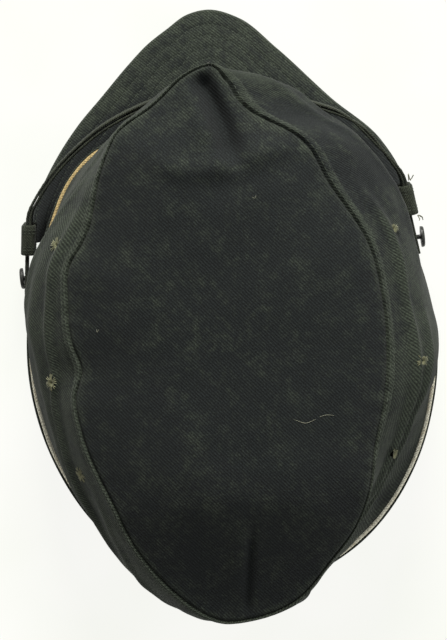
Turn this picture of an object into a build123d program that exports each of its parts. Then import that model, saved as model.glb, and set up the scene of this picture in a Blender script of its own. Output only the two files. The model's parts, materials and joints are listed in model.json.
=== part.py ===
from build123d import *
import os
from collections import namedtuple
from math import atan2, cos, degrees, radians, sin, tan

# A cloth peaked cap with a protective shell inside, in millimetres.
# +Z is up, the peak points along -Y and the wearer's left is +X.
# The origin lies on the table, under the middle of the cap's box.

# ---- driving dimensions ----

cap_centre_y = 18.9         # middle of the band's oval
cloth = 1.0                 # outer cloth, with its interlining
lining_cloth = 0.6
layer_gap = 0.1             # air between two layers that lie on each other
fit_gap = 0.3               # air round a piece that moves past another

band_half_width = 84.5      # outer face, at the lower edge
band_half_length = 99.5
band_height = 38.0
band_flare = 2.0            # how much further out the upper edge stands
stiffener_thickness = 1.0
stiffener_low, stiffener_high = 0.5, 36.0
sweatband_thickness = 1.5
sweatband_low, sweatband_high = 0.6, 33.0
piping_radius = 1.1

peak_rise = 22.0            # height of the peak's middle where it leaves the band
peak_pitch = 14.0           # degrees that it slopes down towards its tip
peak_bend_radius = 142.0    # it is bent down at both sides
peak_board = 1.6
peak_board_margin = 2.5     # cloth beyond the board's edge, where the seam runs

strap_height = 12.0
strap_layer = 1.0           # one of the two halves that lie on each other
strap_slope = 9.0           # degrees that the strap rises from the buttons to the front
strap_front = 72.0          # from the line through both buttons to the strap's front
strap_corner_radius = 14.0  # bend beside each keeper
button_axis = (83.9, -40.0, 19.5)   # the left button's shank, from the middle of the band
keeper_end_x = 80.6         # the strap has come this far in where its straight run ends
straight_run = 24.5         # from the button to the bend
strap_tail = 6.5            # end of the strap behind the shank

keeper_length = 13.0
keeper_wall = 1.4
keeper_corner = 1.0
keeper_place = 17.0         # from the shank to the middle of the keeper
button_radius = 4.5
button_thickness = 1.4
button_rounding = 0.8       # radius of its outer edge
shank_radius = 1.0
shank_hole_radius = 1.06

crown_dome = 12.5           # rise of the crown above its seam
dome_radii = (110.0, 200.0, 62.0)   # the ellipsoid that the domed top is cut from
eyelet_radius = 2.4
eyelet_hole_radius = 1.3
eyelet_length = 3.4         # through the panel and its lining
eyelet_angles = (64, 93, 115)       # round the side, from the front
eyelet_lean = 24.0          # degrees that the side panel leans back at the eyelets
panel_hole_depth = 12.0     # of the cutters for the eyelets' holes

shell_radii = (79.0, 96.0, 56.0)    # outer face of the shell, an ellipsoid
shell_centre_height = 34.0
shell_rim = 46.0
shell_thickness = 2.0
air_slot = (18.0, 5.0)
air_slot_pitch = (26.0, 34.0)
rim_inset = 1.8             # of the rim from the shell's widest line
trim_height, trim_depth, trim_overhang = 2.4, 3.5, 0.6
tab_height, tab_width, tab_thickness = 8.0, 24.0, 2.4
tab_reach = 0.2             # of the patches beyond the shell's widest line
pad_thickness = 7.0
pad_corner = 9.0

# ---- shared shapes ----

CrownLevel = namedtuple("CrownLevel", "height half_width front back sharpness turn")

# the crown's outer face from the band up to its seam; it leans out in front and behind,
# narrows to a long pointed oval and has been pushed round a little on the band
crown_levels = (
    CrownLevel(40.7, 84.5, 99.5, 99.5, 1.0, 0.0),
    CrownLevel(62.0, 80.0, 111.0, 106.0, 1.06, -2.5),
    CrownLevel(84.0, 64.0, 116.5, 109.5, 1.17, -4.6),
)
crown_seam = crown_levels[-1]
sides = {"left": 1, "right": -1}


def cap_plane(height, turn=0.0):
    """A level plane at this height, on the cap's upright middle line."""
    x_dir = (cos(radians(turn)), sin(radians(turn)), 0)
    return Plane(origin=(0, cap_centre_y, height), x_dir=x_dir, z_dir=(0, 0, 1))


def band_oval(height, inset):
    """An oval at this height that runs this far inside the band's outer face."""
    spread = band_flare * height / band_height - inset
    with BuildSketch(cap_plane(height)) as oval:
        Ellipse(band_half_width + spread, band_half_length + spread)
    return oval.sketch


def band_sections(low, high, inset):
    """The two ovals that a layer of the band is lofted between."""
    return [band_oval(low, inset), band_oval(high, inset)]


def band_at(y, height):
    """How far out the band's outer face is, this far behind the cap's middle."""
    spread = band_flare * height / band_height
    along = y / (band_half_length + spread)
    return (band_half_width + spread) * (1 - along**2) ** 0.5


def crown_point(level, angle, inset=0.0, side=1):
    """A point of the crown's outline in its level's plane, by the angle round from the front."""
    length = level.front if angle < 90 else level.back
    across = (level.half_width - inset) * sin(radians(angle)) ** level.sharpness
    return (side * across, -(length - inset) * cos(radians(angle)))


def crown_face(level, side, inset, thickness):
    """One side's slice through a layer of the crown, from the front seam to the back seam."""
    angles = range(0, 181, 20)
    seam = side * layer_gap / 2
    outer = [crown_point(level, a, inset, side) for a in angles]
    inner = [crown_point(level, a, inset + thickness, side) for a in angles]
    outer = [(x + seam, y) for x, y in outer]
    inner = [(x + seam, y) for x, y in inner]
    with BuildSketch(cap_plane(level.height, level.turn)) as slice_:
        with BuildLine():
            Spline(*outer)
            Line(outer[-1], inner[-1])
            Spline(*reversed(inner))
            Line(inner[0], outer[0])
        make_face()
    return slice_.sketch


def crown_prism(inset):
    """The crown seam's pointed oval, standing upright."""
    side_points = [crown_point(crown_seam, a, inset) for a in range(0, 181, 20)]
    other_side = [(-x, y) for x, y in reversed(side_points)]
    with BuildPart() as prism:
        with BuildSketch(cap_plane(crown_seam.height, crown_seam.turn)):
            with BuildLine():
                Spline(*side_points)
                Spline(*other_side)
            make_face()
        extrude(amount=4 * crown_dome)
    return prism.part


def ellipsoid(radii, centre):
    """A solid ellipsoid."""
    ball = scale(Sphere(1, mode=Mode.PRIVATE), by=radii, mode=Mode.PRIVATE)
    return ball.moved(Location(centre))


def crown_dome_solid(drop):
    """Everything under the crown's domed top, this far below its outer face."""
    dome_top = crown_seam.height + crown_dome
    return ellipsoid(dome_radii, (0, cap_centre_y, dome_top - dome_radii[2] - drop))


def shell_solid(inset):
    """Everything inside the shell, this far in from its outer face."""
    radii = tuple(radius - inset for radius in shell_radii)
    return ellipsoid(radii, (0, cap_centre_y, shell_centre_height))


def eyelet_plane(angle, side):
    """A plane on the side panel at an eyelet, facing outwards."""
    level = crown_levels[1]
    x, y = crown_point(level, angle, side=side)
    before, after = crown_point(level, angle - 3), crown_point(level, angle + 3)
    outward = atan2(before[0] - after[0], after[1] - before[1])
    lean = radians(eyelet_lean)
    facing = (side * cos(outward) * cos(lean), sin(outward) * cos(lean), sin(lean))
    turned = cap_plane(level.height, level.turn)
    return Plane(
        origin=turned.from_local_coords(Vector(x, y, 0)),
        z_dir=turned.from_local_coords(Vector(facing)) - turned.origin,
    )


def eyelet_cylinders(side, radius, depth):
    """Three short round bars through the side panel, one at each eyelet."""
    with BuildPart() as bars:
        for angle in eyelet_angles:
            with BuildSketch(eyelet_plane(angle, side)):
                Circle(radius)
            extrude(amount=depth / 2, both=True)
    return bars.part


# ---- strap geometry, in the sloping plane through both buttons ----

strap_plane = Plane(
    origin=(0, cap_centre_y + button_axis[1], button_axis[2]),
    x_dir=(1, 0, 0),
    z_dir=(0, sin(radians(strap_slope)), cos(radians(strap_slope))),
)
strap_thickness = 2 * strap_layer + 2 * layer_gap
strap_lean = atan2(button_axis[0] - keeper_end_x, straight_run)
strap_ahead = (-sin(strap_lean), -cos(strap_lean))
run_end = (keeper_end_x, -straight_run)
corner = (
    run_end[0] - strap_corner_radius * cos(strap_lean),
    run_end[1] + strap_corner_radius * sin(strap_lean),
)
# the front arc is centred on the middle line, touches the corner arc and reaches strap_front
to_corner = strap_front - strap_corner_radius
front_centre = (corner[0] ** 2 + corner[1] ** 2 - to_corner**2) / (2 * (to_corner + corner[1]))
front_radius = front_centre + strap_front
front_angle = degrees(atan2(corner[1] - front_centre, corner[0]))


def strap_side(side, offset, tail):
    """The strap's line from behind the button to the end of its corner arc."""
    start = (
        button_axis[0] + offset * cos(strap_lean) - tail * strap_ahead[0],
        -offset * sin(strap_lean) - tail * strap_ahead[1],
    )
    end = (
        run_end[0] + offset * cos(strap_lean),
        run_end[1] - offset * sin(strap_lean),
    )
    turn = front_angle + degrees(strap_lean)
    first, arc_size = -degrees(strap_lean), turn
    if side < 0:
        first, arc_size = 180 - first, -arc_size
    Line((side * start[0], start[1]), (side * end[0], end[1]))
    CenterArc((side * corner[0], corner[1]), strap_corner_radius + offset, first, arc_size)
    return (side * start[0], start[1])


def strap_half(inner, outer, left_tail, right_tail):
    """One half of the strap: a strip on edge from the left side round the front to the right."""
    with BuildSketch(strap_plane) as strip:
        with BuildLine():
            ends = []
            for offset in (inner, outer):
                ends.append(strap_side(1, offset, left_tail))
                ends.append(strap_side(-1, offset, right_tail))
                span = -180 - 2 * front_angle
                CenterArc((0, front_centre), front_radius + offset, front_angle, span)
            Line(ends[0], ends[2])
            Line(ends[1], ends[3])
        make_face()
    return strip.sketch


def shank_plane(side):
    """A plane across a button's shank, on the cap's middle plane and facing outwards."""
    x, y, z = button_axis
    return Plane(origin=(0, cap_centre_y + y, z), z_dir=(side, 0, 0))


def keeper_plane(side):
    """A plane across the strap at the middle of a keeper, facing the front."""
    x = side * (button_axis[0] + keeper_place * strap_ahead[0])
    y = keeper_place * strap_ahead[1]
    ahead = Vector(side * strap_ahead[0], strap_ahead[1], 0)
    facing = strap_plane.from_local_coords(ahead) - strap_plane.origin
    return Plane(
        origin=strap_plane.from_local_coords(Vector(x, y, 0)),
        x_dir=facing.cross(strap_plane.z_dir),
        z_dir=facing,
    )


parts = {}

# ---- the band ----

# cloth strip round the head, sewn to the crown and to the peak
with BuildPart() as band_cover:
    loft(band_sections(0, band_height, 0))
    loft(band_sections(0, band_height, cloth), mode=Mode.SUBTRACT)
    with BuildSketch(shank_plane(1)):
        Circle(shank_hole_radius)
    extrude(amount=2 * band_half_width, both=True, mode=Mode.SUBTRACT)
parts["band_cover"] = band_cover

# stiff strip that keeps the band upright
stiffener_inset = cloth + layer_gap
with BuildPart() as band_stiffener:
    loft(band_sections(stiffener_low, stiffener_high, stiffener_inset))
    stiffener_inner = stiffener_inset + stiffener_thickness
    loft(band_sections(stiffener_low, stiffener_high, stiffener_inner), mode=Mode.SUBTRACT)
    with BuildSketch(shank_plane(1)):
        Circle(shank_hole_radius)
    extrude(amount=2 * band_half_width, both=True, mode=Mode.SUBTRACT)
parts["band_stiffener"] = band_stiffener

# the strip that touches the forehead
sweatband_inset = stiffener_inner + 2 * layer_gap
with BuildPart() as sweatband:
    loft(band_sections(sweatband_low, sweatband_high, sweatband_inset))
    sweatband_inner = sweatband_inset + sweatband_thickness
    loft(band_sections(sweatband_low, sweatband_high, sweatband_inner), mode=Mode.SUBTRACT)
parts["sweatband"] = sweatband

# round cord in the seam between the band and the crown
with BuildPart() as piping:
    piping_height = band_height + piping_radius + layer_gap
    piping_path = band_oval(piping_height, cloth + piping_radius).wire()
    with BuildSketch(Plane(origin=piping_path @ 0, z_dir=piping_path % 0)):
        Circle(piping_radius)
    sweep(path=piping_path)
parts["piping"] = piping

# ---- the crown ----

lining_inset = cloth + fit_gap
eyelet_hole = eyelet_radius + layer_gap


def side_cloth(side, inset, thickness):
    """One side's layer of the crown, with a hole for each eyelet."""
    with BuildPart() as panel:
        loft([crown_face(level, side, inset, thickness) for level in crown_levels])
        add(eyelet_cylinders(side, eyelet_hole, panel_hole_depth), mode=Mode.SUBTRACT)
    return panel.part


def top_cloth(inset, thickness):
    """A layer of the domed top panel inside its seam."""
    with BuildPart() as panel:
        add(crown_prism(inset))
        add(crown_dome_solid(drop=inset), mode=Mode.INTERSECT)
        add(crown_dome_solid(drop=inset + thickness), mode=Mode.SUBTRACT)
    return panel.part


with BuildPart() as crown_top:
    add(top_cloth(0, cloth))
parts["crown_top"] = crown_top

with BuildPart() as lining_top:
    add(top_cloth(lining_inset, lining_cloth))
parts["lining_top"] = lining_top

for name, side in sides.items():
    with BuildPart() as side_panel:
        add(side_cloth(side, 0, cloth))
    parts[f"side_panel_{name}"] = side_panel

    with BuildPart() as lining:
        add(side_cloth(side, lining_inset, lining_cloth))
    parts[f"lining_{name}"] = lining

    # thread rings round the ventilation holes
    with BuildPart() as eyelets:
        add(eyelet_cylinders(side, eyelet_radius, eyelet_length))
        add(eyelet_cylinders(side, eyelet_hole_radius, panel_hole_depth), mode=Mode.SUBTRACT)
    parts[f"eyelets_{name}"] = eyelets

# ---- the peak ----

# outline seen from above, from the middle of the band; worn over to the right
peak_outline = (
    (81.0, -66.0),
    (75.0, -76.0),
    (64.5, -92.0),
    (45.5, -115.0),
    (32.0, -128.0),
    (14.0, -142.0),
    (-5.0, -147.0),
    (-18.0, -143.0),
    (-32.0, -127.5),
    (-53.5, -103.5),
    (-73.0, -84.0),
    (-81.5, -66.0),
)
peak_root_y = -70.0         # the board's outline is drawn in towards this place
peak_bend_angle = 42.0      # the bent sheet's reach to each side of its middle
peak_pitch_down = radians(peak_pitch)
peak_plane = Plane(
    origin=(0, cap_centre_y - band_half_length, peak_rise),
    x_dir=(1, 0, 0),
    z_dir=(0, -cos(peak_pitch_down), -sin(peak_pitch_down)),
)


def peak_edge(margin):
    """The peak's outline, drawn in towards the middle of its root by about this much."""
    reach = peak_root_y - min(y for x, y in peak_outline)
    shrink = 1 - margin / reach
    return [(x * shrink, peak_root_y + (y - peak_root_y) * shrink) for x, y in peak_outline]


def peak_sheet(low, high, margin):
    """A layer of the peak between two depths, measured up from the middle of its board."""
    centre = (0, -peak_bend_radius)
    start, span = 90 - peak_bend_angle, 2 * peak_bend_angle
    with BuildPart() as sheet:
        with BuildSketch(peak_plane):
            with BuildLine():
                under = CenterArc(centre, peak_bend_radius + low, start, span)
                over = CenterArc(centre, peak_bend_radius + high, start, span)
                Line(under @ 0, over @ 0)
                Line(under @ 1, over @ 1)
            make_face()
        extrude(amount=band_half_length, both=True)
        with BuildSketch(cap_plane(0)):
            with BuildLine():
                edge = Spline(*peak_edge(margin))
                Line(edge @ 0, edge @ 1)
            make_face()
        extrude(amount=2 * band_height, both=True, mode=Mode.INTERSECT)
        loft(band_sections(-1, band_height, -2 * layer_gap), mode=Mode.SUBTRACT)
    return sheet.part


board_half = peak_board / 2
cover_low = board_half + layer_gap

with BuildPart() as visor_top_cover:
    add(peak_sheet(cover_low, cover_low + cloth, margin=0))
parts["visor_top_cover"] = visor_top_cover

with BuildPart() as visor_board:
    add(peak_sheet(-board_half, board_half, margin=peak_board_margin))
parts["visor_board"] = visor_board

with BuildPart() as visor_under_cover:
    add(peak_sheet(-cover_low - cloth, -cover_low, margin=0))
parts["visor_under_cover"] = visor_under_cover

# ---- the chin strap ----

# each half is held by one button, runs round the front and ends in the far keeper
strap_end = -(keeper_place - keeper_length / 2)

with BuildPart() as chin_strap_outer:
    strip = strap_half(layer_gap, layer_gap + strap_layer, strap_tail, strap_end)
    extrude(strip, amount=strap_height / 2, both=True)
    with BuildSketch(shank_plane(sides["left"])):
        Circle(shank_hole_radius)
    extrude(amount=2 * band_half_width, mode=Mode.SUBTRACT)
parts["chin_strap_outer"] = chin_strap_outer

with BuildPart() as chin_strap_inner:
    strip = strap_half(-layer_gap - strap_layer, -layer_gap, strap_end, strap_tail)
    extrude(strip, amount=strap_height / 2, both=True)
    with BuildSketch(shank_plane(sides["right"])):
        Circle(shank_hole_radius)
    extrude(amount=2 * band_half_width, mode=Mode.SUBTRACT)
parts["chin_strap_inner"] = chin_strap_inner

# loops of cloth round both halves of the strap
slot_gap = 0.2
slot_size = (strap_thickness + 2 * slot_gap, strap_height + 2 * slot_gap)
keeper_size = (slot_size[0] + 2 * keeper_wall, slot_size[1] + 2 * keeper_wall)

for name, side in sides.items():
    with BuildPart() as keeper:
        with BuildSketch(keeper_plane(side)):
            RectangleRounded(*keeper_size, radius=keeper_corner)
            Rectangle(*slot_size, mode=Mode.SUBTRACT)
        extrude(amount=keeper_length / 2, both=True)
    parts[f"keeper_{name}"] = keeper

# the side buttons that hold the strap's ends; a keeper stops before it gets under one
strap_under_button = strap_thickness / 2 + button_radius * tan(strap_lean)
button_base = button_axis[0] + strap_under_button + fit_gap
shank_start = band_at(button_axis[1], button_axis[2]) - stiffener_inner


def button(side):
    """A round-edged button on its shank, which starts just inside the band's stiff strip."""
    across = shank_plane(side)
    with BuildPart() as body:
        with BuildSketch(across.offset(shank_start)):
            Circle(shank_radius)
        extrude(amount=button_base - shank_start)
        with BuildSketch(across.offset(button_base)):
            Circle(button_radius)
        extrude(amount=button_thickness)
        outward = Axis(across.origin, across.z_dir)
        outer_edge = body.edges().filter_by(GeomType.CIRCLE).sort_by(outward)[-1]
        fillet(outer_edge, radius=button_rounding)
    return body.part


for name, side in sides.items():
    with BuildPart() as side_button:
        add(button(side))
    parts[f"button_{name}"] = side_button

# ---- the protective insert ----

# a hard dome with slots for air
with BuildPart() as shell:
    add(shell_solid(0))
    add(shell_solid(shell_thickness), mode=Mode.SUBTRACT)
    with BuildSketch(cap_plane(-shell_radii[2])):
        Rectangle(3 * shell_radii[0], 3 * shell_radii[1])
    extrude(amount=shell_radii[2] + shell_rim, mode=Mode.SUBTRACT)
    with BuildSketch(cap_plane(shell_rim)):
        with GridLocations(*air_slot_pitch, 4, 3):
            SlotOverall(*air_slot, rotation=90)
    extrude(amount=shell_radii[2], mode=Mode.SUBTRACT)
parts["shell"] = shell


def rim_ring(reach, depth, low, height):
    """A flat oval ring that reaches this far beyond the shell's widest line."""
    with BuildPart() as ring:
        for growth, mode in ((reach, Mode.ADD), (reach - depth, Mode.SUBTRACT)):
            with BuildSketch(cap_plane(low)):
                Ellipse(shell_radii[0] + growth, shell_radii[1] + growth)
            extrude(amount=height, mode=mode)
    return ring.part


# soft bead under the shell's rim
with BuildPart() as shell_trim:
    trim_low = shell_rim - layer_gap - trim_height
    add(rim_ring(trim_overhang - rim_inset, trim_depth, trim_low, trim_height))
parts["shell_trim"] = shell_trim

# four patches that hold the shell in the crown
with BuildPart() as shell_tabs:
    tab_low = shell_rim + 1.5
    add(rim_ring(tab_reach, tab_thickness, tab_low, tab_height))
    with BuildSketch(cap_plane(tab_low)):
        Rectangle(3 * shell_radii[0], tab_width)
        Rectangle(tab_width, 3 * shell_radii[1])
    extrude(amount=tab_height, mode=Mode.INTERSECT)
parts["shell_tabs"] = shell_tabs

# foam pads on the shell's inner face: centre and size of each one seen from above
pad_low = shell_rim + 6.0
pads = {
    "pad_front": ((0, -62), (64, 46)),
    "pad_rear": ((0, 62), (64, 46)),
    "pad_top": ((0, 0), (46, 60)),
    "pad_left": ((56, 0), (44, 60)),
    "pad_right": ((-56, 0), (44, 60)),
}
for name, (centre, size) in pads.items():
    with BuildPart() as pad:
        add(shell_solid(shell_thickness + fit_gap))
        add(shell_solid(shell_thickness + fit_gap + pad_thickness), mode=Mode.SUBTRACT)
        with BuildSketch(cap_plane(pad_low)):
            with Locations(centre):
                RectangleRounded(*size, radius=pad_corner)
        extrude(amount=shell_radii[2], mode=Mode.INTERSECT)
    parts[name] = pad

# ---- files ----

os.makedirs("parts", exist_ok=True)
for name, sub_part in parts.items():
    sub_part.part.label = name
    export_step(sub_part.part, f"parts/{name}.step")
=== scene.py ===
"""A worn cloth peaked cap with a protective insert, seen from straight above.

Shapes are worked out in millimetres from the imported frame, and made in metres.
The peak points along -Y, the wearer's left is +X, and "share" means a part of 0 to 1.
"""
import json
from collections import namedtuple
from math import atan2, cos, pi, radians, sin, tan

import bmesh
import bpy
import numpy as np
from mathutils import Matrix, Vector, kdtree, noise


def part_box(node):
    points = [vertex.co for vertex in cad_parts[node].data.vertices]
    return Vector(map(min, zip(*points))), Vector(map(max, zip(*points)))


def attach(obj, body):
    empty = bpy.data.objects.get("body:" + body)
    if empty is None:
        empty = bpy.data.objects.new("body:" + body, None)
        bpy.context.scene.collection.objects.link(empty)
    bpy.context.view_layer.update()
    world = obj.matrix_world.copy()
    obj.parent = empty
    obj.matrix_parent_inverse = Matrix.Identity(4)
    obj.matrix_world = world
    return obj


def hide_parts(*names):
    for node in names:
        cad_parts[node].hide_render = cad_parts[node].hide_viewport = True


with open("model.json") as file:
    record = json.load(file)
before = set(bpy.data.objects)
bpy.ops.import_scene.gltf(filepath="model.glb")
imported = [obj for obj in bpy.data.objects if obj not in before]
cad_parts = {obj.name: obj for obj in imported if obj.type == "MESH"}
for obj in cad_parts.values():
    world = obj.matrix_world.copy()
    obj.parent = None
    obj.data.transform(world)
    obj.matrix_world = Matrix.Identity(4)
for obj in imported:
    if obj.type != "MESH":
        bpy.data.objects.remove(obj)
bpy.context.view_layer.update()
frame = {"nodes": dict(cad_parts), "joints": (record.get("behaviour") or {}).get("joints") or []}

MM = 0.001


# ---- what the frame gives ----


def cad_box(node):
    """A CAD node's lowest and highest corner, in millimetres."""
    low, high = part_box(node)
    return np.array(low) / MM, np.array(high) / MM


joints = {joint["name"]: joint for joint in frame["joints"]}
sides = {"left": 1, "right": -1}

band_low, band_high = cad_box("band_cover")
middle_y = (band_low[1] + band_high[1]) / 2
band_height = band_high[2]
band_flare = 2.0                # how much further out the band's upper edge stands
band_half_width = band_high[0] - band_flare
band_half_length = (band_high[1] - band_low[1]) / 2 - band_flare
seam_height = cad_box("side_panel_left")[1][2]
crown_height = cad_box("crown_top")[1][2]
button_y, button_z = np.array(joints["strap_swing"]["pos_m"][1:]) / MM
piping_low, piping_high = cad_box("piping")
piping_radius = (piping_high[2] - piping_low[2]) / 2

# ---- the shape of the cloth, in millimetres and degrees ----

cloth = 1.0
Level = namedtuple("Level", "height half_width front back sharpness turn shifts")

# the seam round the top panel, and the side panels' fullest line under it; shifts are how
# far the cloth has been pushed out at (degrees round from the front), on each side
seam_level = Level(
    seam_height, 64.0, 116.5, 110.5, 1.17, -4.6,
    {
        "left": (
            (0, 6), (16, 3), (31, 1), (40, 6.5), (43, 6), (47, 5), (54, 2.8), (59, 1), (64, 0.2),
            (67.5, 1.5), (71, 4.2), (80, 3), (87, 1), (93, -3), (99, 0.5), (107, 0.5), (117, -1.5),
            (123, -2.5), (133, -1.5), (155, 0), (180, 4),
        ),
        "right": (
            (0, -6), (10, -12), (20, -18), (34, -22), (42, -12), (55, -10), (69, -3), (80, -2),
            (100, -2), (112, -2.5), (121, 0.5), (131, 2), (141, 1), (159, 3), (180, -4),
        ),
    },
)
bulge_level = Level(
    60.0, 80.0, 112.0, 110.5, 1.06, -2.5,
    {
        "left": (
            (0, 2), (22, 1), (42, -1), (52, 0.5), (60, 3), (68, 6), (75, 5), (81, 4), (93, 0.3), (103, -2),
            (113, -2), (125, -2.5), (140, 0.5), (155, 4.5), (168, 6.5), (180, 4.5),
        ),
        "right": (
            (0, -2), (17, 9), (30, 5), (44, 6), (54, 6), (68, 2.5), (76, 1), (84, 2), (93, 3.5), (99, 2),
            (106, -3.5), (116, -8.5), (126, -12), (137, -13), (150, -8), (159, -1.5), (168, -1), (180, -4),
        ),
    },
)
front_drop, rear_drop = 5.0, 15.0       # how far the seam dips in front and behind
front_push, front_push_turn, front_push_spread = 6.0, 38, 17    # of the band's edge, at the left front
panel_height = 62.0                     # of a side panel, measured over the cloth
allowance = 3.4                         # width of the seam's raised edge beside the top panel
topstitch_places = (1.1, 2.6)           # distances of the two rows of stitching from the seam
seam_zone = 7.0                         # width beside the seam where the grids are finer
angles = np.linspace(0, 180, 301)       # round from the front

# a fold runs along a path through points of a surface's own map; crosswise ones run over it
Fold = namedtuple("Fold", "path width lift crosswise", defaults=(False,))

# map of a side panel: degrees round from the front, millimetres up from the band
side_folds = {
    "left": (
        Fold(((58, 54), (75, 52), (90, 47), (113, 37), (140, 30)), 2.6, 2.4),
        Fold(((70, 38), (95, 33), (125, 22)), 4.5, 1.2),
        Fold(((48, 44), (62, 34), (80, 24)), 3.5, 1.0),
        Fold(((30, 46), (44, 40), (56, 30)), 3.0, 0.9),
        Fold(((118, 50), (138, 44), (165, 34)), 3.2, 1.0),
    ),
    "right": (
        Fold(((56, 52), (68, 49), (90, 48), (112, 40), (132, 34)), 2.4, 2.6),
        Fold(((84, 36), (95, 38), (118, 28), (140, 24)), 2.6, 2.2),
        Fold(((14, 47), (30, 42), (52, 30), (72, 26)), 4.0, 1.1),
        Fold(((24, 32), (40, 24), (58, 18)), 4.0, 0.8),
        Fold(((120, 52), (140, 46), (165, 36)), 3.2, 0.8),
    ),
}

# map of the top panel: millimetres across from its long axis, millimetres behind its middle
top_folds = (
    Fold(((-118, 10), (-110, 9), (-100, 5), (-89, 1), (-74, -3)), 4.6, -7.5),
    Fold(((-118, 19), (-108, 17), (-96, 12), (-84, 8)), 4.5, 1.6),
    Fold(((-118, -4), (-106, -9), (-94, -17)), 4.0, 1.6),
    Fold(((-30, -85), (-14, -80), (-2, -76), (14, -73), (30, -76)), 5.0, 1.9, True),
    Fold(((-32, -77), (-12, -70), (10, -64)), 6.0, -1.2, True),
    Fold(((70, -6), (84, -5), (98, -4), (112, -3)), 1.8, -2.4),
    Fold(((66, -2), (84, 0), (104, 0)), 4.0, 0.7),
    Fold(((-46, 70), (-20, 62), (10, 62), (42, 68)), 9.0, 1.2, True),
    Fold(((20, 18), (50, 14), (78, 10)), 8.0, 0.5),
)


def ramp(value, start, end):
    """0 before start, 1 after end, and smooth between them."""
    share = np.clip((value - start) / (end - start), 0, 1)
    return share * share * (3 - 2 * share)


def hump(distance, width):
    """1 in the middle of a line, falling off smoothly over about this width."""
    return np.exp(-((distance / width) ** 2))


def through(table, at):
    """The smooth curve through a table of (place, value), at these places."""
    places, values = np.array(table, float).T
    slopes = np.gradient(values, places)
    i = np.clip(np.searchsorted(places, at) - 1, 0, len(places) - 2)
    gap = places[i + 1] - places[i]
    s = np.clip((at - places[i]) / gap, 0, 1)
    start = (1 + 2 * s) * (1 - s) ** 2 * values[i] + s * (1 - s) ** 2 * gap * slopes[i]
    end = s**2 * (3 - 2 * s) * values[i + 1] - s**2 * (1 - s) * gap * slopes[i + 1]
    return start + end


def wrinkle(points, size, seed):
    """Smooth noise of about this size in millimetres, from -1 to 1, at each point."""
    flat = points.reshape(-1, points.shape[-1])
    places = np.zeros((len(flat), 3))
    places[:, : flat.shape[1]] = flat / size
    places += np.array([17.3, 5.1, 9.7]) * seed
    found = [noise.noise(Vector(place)) for place in places]
    return np.array(found).reshape(points.shape[:-1])


def fold_lift(along, across, fold):
    """How far a fold lifts a surface at each point of its map."""
    if fold.crosswise:
        along, across = across, along
    first, last = fold.path[0][0], fold.path[-1][0]
    fade = 0.22 * (last - first)
    shown = ramp(along, first - fade / 2, first + fade) * (1 - ramp(along, last - fade, last + fade / 2))
    off_line = across - through(fold.path, along)
    return fold.lift * hump(off_line, fold.width) * shown


def unit(vectors):
    return vectors / np.maximum(np.linalg.norm(vectors, axis=-1, keepdims=True), 1e-9)


def grid_normals(points):
    """Unit normals of a grid of points."""
    normals = np.cross(np.gradient(points, axis=0), np.gradient(points, axis=1))
    return unit(normals)


def raise_plan(plan, height):
    """Plan points with their heights."""
    return np.concatenate([plan, np.broadcast_to(height, plan.shape[:-1])[..., None]], -1)


def arc_lengths(points):
    """How far along a line each of its points is."""
    steps = np.linalg.norm(np.diff(points, axis=0), axis=-1)
    return np.concatenate([[0], np.cumsum(steps)])


def values_along(values, length, marks):
    """Three columns of values at these marks along a line."""
    return np.stack([np.interp(marks, length, values[:, i]) for i in range(3)], -1)


def smooth_along(knots, points, marks):
    """A smooth curve through points at these marks along it."""
    columns = range(points.shape[1])
    return np.stack([through(np.stack([knots, points[:, i]], -1), marks) for i in columns], -1)


def split_shares(split, first_count, last_count):
    """Shares from 0 to 1, in even steps up to the split and in other even steps after it."""
    return np.concatenate([np.linspace(0, split, first_count)[:-1], np.linspace(split, 1, last_count)])


def full_turn(steps):
    return np.linspace(0, 2 * pi, steps + 1)


def ring_noise(turn, size, seed):
    """Noise along a closed ring, whose ends agree."""
    return wrinkle(np.stack([np.cos(turn), np.sin(turn)], -1) * 100, size, seed)


# ---- making pieces ----


def grid_piece(name, points, uv, material, body, wear=0.5, nodes=()):
    """A smooth piece through a grid of points in millimetres. Its rows may close up on themselves."""
    rows, columns = points.shape[:2]
    index = np.arange(rows * columns).reshape(rows, columns)
    corners = (index[:-1, :-1], index[1:, :-1], index[1:, 1:], index[:-1, 1:])
    quads = np.stack(corners, -1).reshape(-1, 4)
    mesh = bpy.data.meshes.new(name)
    mesh.from_pydata((points.reshape(-1, 3) * MM).tolist(), [], quads.tolist())
    layer = mesh.uv_layers.new(name="UVMap")
    layer.data.foreach_set("uv", (uv.reshape(-1, 2) * MM)[quads.ravel()].ravel())
    set_wear(mesh, np.broadcast_to(wear, (rows, columns)).ravel())
    return finish_piece(name, mesh, material, body, nodes)


def set_wear(mesh, values):
    """Stores how worn each point is, for the material to read; in places painted shade is taken off it."""
    worn = mesh.attributes.new("wear", "FLOAT", "POINT")
    worn.data.foreach_set("value", values.astype(np.float32))


def add_object(name, data):
    """A new object in the scene."""
    made = bpy.data.objects.new(name, data)
    bpy.context.scene.collection.objects.link(made)
    return made


def finish_piece(name, mesh, material, body, nodes=()):
    """Joins what touches, and puts the mesh in the scene on its body."""
    work = bmesh.new()
    work.from_mesh(mesh)
    bmesh.ops.remove_doubles(work, verts=work.verts, dist=0.00001)
    bmesh.ops.recalc_face_normals(work, faces=work.faces)
    work.to_mesh(mesh)
    work.free()
    mesh.shade_smooth()
    piece = add_object(name, mesh)
    piece.data.materials.append(material)
    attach(piece, body)
    if nodes:
        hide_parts(*nodes)
    return piece


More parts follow.
